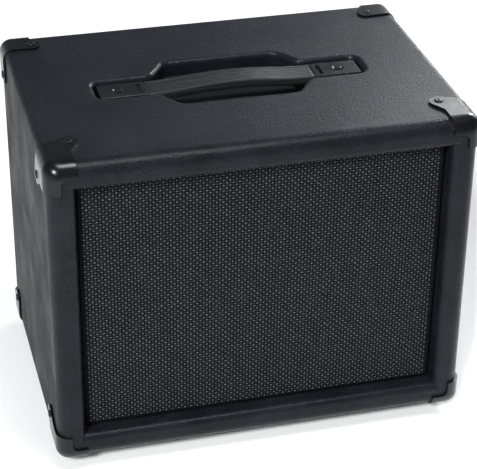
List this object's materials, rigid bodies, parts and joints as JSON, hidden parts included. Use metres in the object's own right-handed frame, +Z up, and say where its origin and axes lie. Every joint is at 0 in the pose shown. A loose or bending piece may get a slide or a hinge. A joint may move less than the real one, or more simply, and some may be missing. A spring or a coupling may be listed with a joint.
{
  "type": "guitar speaker cabinet",
  "caption": "Compact guitar speaker cabinet: vinyl-covered box, recessed woven grille, corner guards, sunk strap handle, driver inside and a half-open back.",
  "frame": {"origin": "on the floor under the middle of the cabinet, at the feet's lower faces", "axes": "+X to the right seen from the front, -Y out of the grille, +Z up"},
  "size_m": [0.4258, 0.295, 0.3459],
  "materials": {
    "vinyl": "fine pebble grain, satin",
    "plywood": "sanded birch plywood",
    "black_board": "stained black",
    "grille_cloth": "basket-weave acoustic cloth",
    "hook_and_loop": "matt",
    "guard_plastic": "gloss moulded",
    "cap_plastic": "satin moulded",
    "strap_rubber": "satin, lengthwise grain",
    "foot_rubber": "matt",
    "black_screw": "black oxide",
    "spring_steel": "blued strip",
    "basket_paint": "satin black paint",
    "gasket_cork": "cork and rubber",
    "cone_paper": "pressed paper",
    "dust_cap_felt": "pressed felt",
    "former_film": "amber film",
    "copper_wire": "enamelled copper",
    "spider_cloth": "resin-dipped cotton",
    "plated_steel": "zinc plated",
    "ferrite": "sintered, matt",
    "phenolic": "laminated board",
    "tinned_brass": "tinned",
    "jack_plate": "black powder coat",
    "jack_body": "moulded nylon",
    "nickel": "nickel plated",
    "red_lead": "soft cover",
    "black_lead": "soft cover",
    "clip_nylon": "natural nylon"
  },
  "bodies": {
    "root": {"front_top_right_corner": "guard_plastic", "front_top_left_corner": "guard_plastic", "front_bottom_right_corner": "guard_plastic", "front_bottom_left_corner": "guard_plastic", "rear_top_right_corner": "guard_plastic", "rear_top_left_corner": "guard_plastic", "rear_bottom_right_corner": "guard_plastic", "rear_bottom_left_corner": "guard_plastic", "corner_screws": "black_screw", "front_left_foot": "foot_rubber", "front_right_foot": "foot_rubber", "rear_left_foot": "foot_rubber", "rear_right_foot": "foot_rubber", "foot_screws": "black_screw", "vinyl_wrap": "vinyl", "top_panel": "plywood", "bottom_panel": "plywood", "left_panel": "plywood", "right_panel": "plywood", "front_frame": "plywood", "baffle_screws": "black_screw", "grille_cloth": "grille_cloth", "grille_frame": "black_board", "grille_pads": "hook_and_loop", "pocket_floor": "black_board", "right_handle_cap": "cap_plastic", "left_handle_cap": "cap_plastic", "handle_screws": "black_screw", "handle_bearer": "black_board", "right_strap_end": "strap_rubber", "left_strap_end": "strap_rubber", "strap_core": "spring_steel", "jack_plate": "jack_plate", "back_screws": "black_screw", "upper_back_board": "vinyl", "lower_back_board": "vinyl", "left_back_cleat": "plywood", "right_back_cleat": "plywood", "jack_socket": "jack_body", "jack_nut": "nickel", "driver_bolts": "black_screw", "baffle_board": "black_board", "driver_gasket": "gasket_cork", "basket": "basket_paint", "cone_surround": "cone_paper", "spider": "spider_cloth", "top_plate": "plated_steel", "magnet_ring": "ferrite", "back_plate": "plated_steel", "terminal_strip": "phenolic", "terminal_lugs": "tinned_brass", "tinsel_leads": "copper_wire", "black_lead": "black_lead", "red_lead": "red_lead", "lead_clip": "clip_nylon"},
    "cone": {"speaker_cone": "cone_paper", "dust_cap": "dust_cap_felt", "coil_former": "former_film", "coil_winding": "copper_wire"},
    "strap": {"strap_grip": "strap_rubber"}
  },
  "joints": [
    {"name": "cone_travel", "type": "slide", "parent": "root", "child": "cone", "axis": [0, -1, 0], "range_m": [-0.003, 0.003], "stiffness_N_per_m": 6000, "deforming": ["cone_surround", "spider", "tinsel_leads"]},
    {"name": "handle_lift", "type": "slide", "parent": "root", "child": "strap", "axis": [0, 0, 1], "range_m": [0, 0.018], "stiffness_N_per_m": 900, "deforming": ["left_strap_end", "right_strap_end", "strap_core"]}
  ]
}
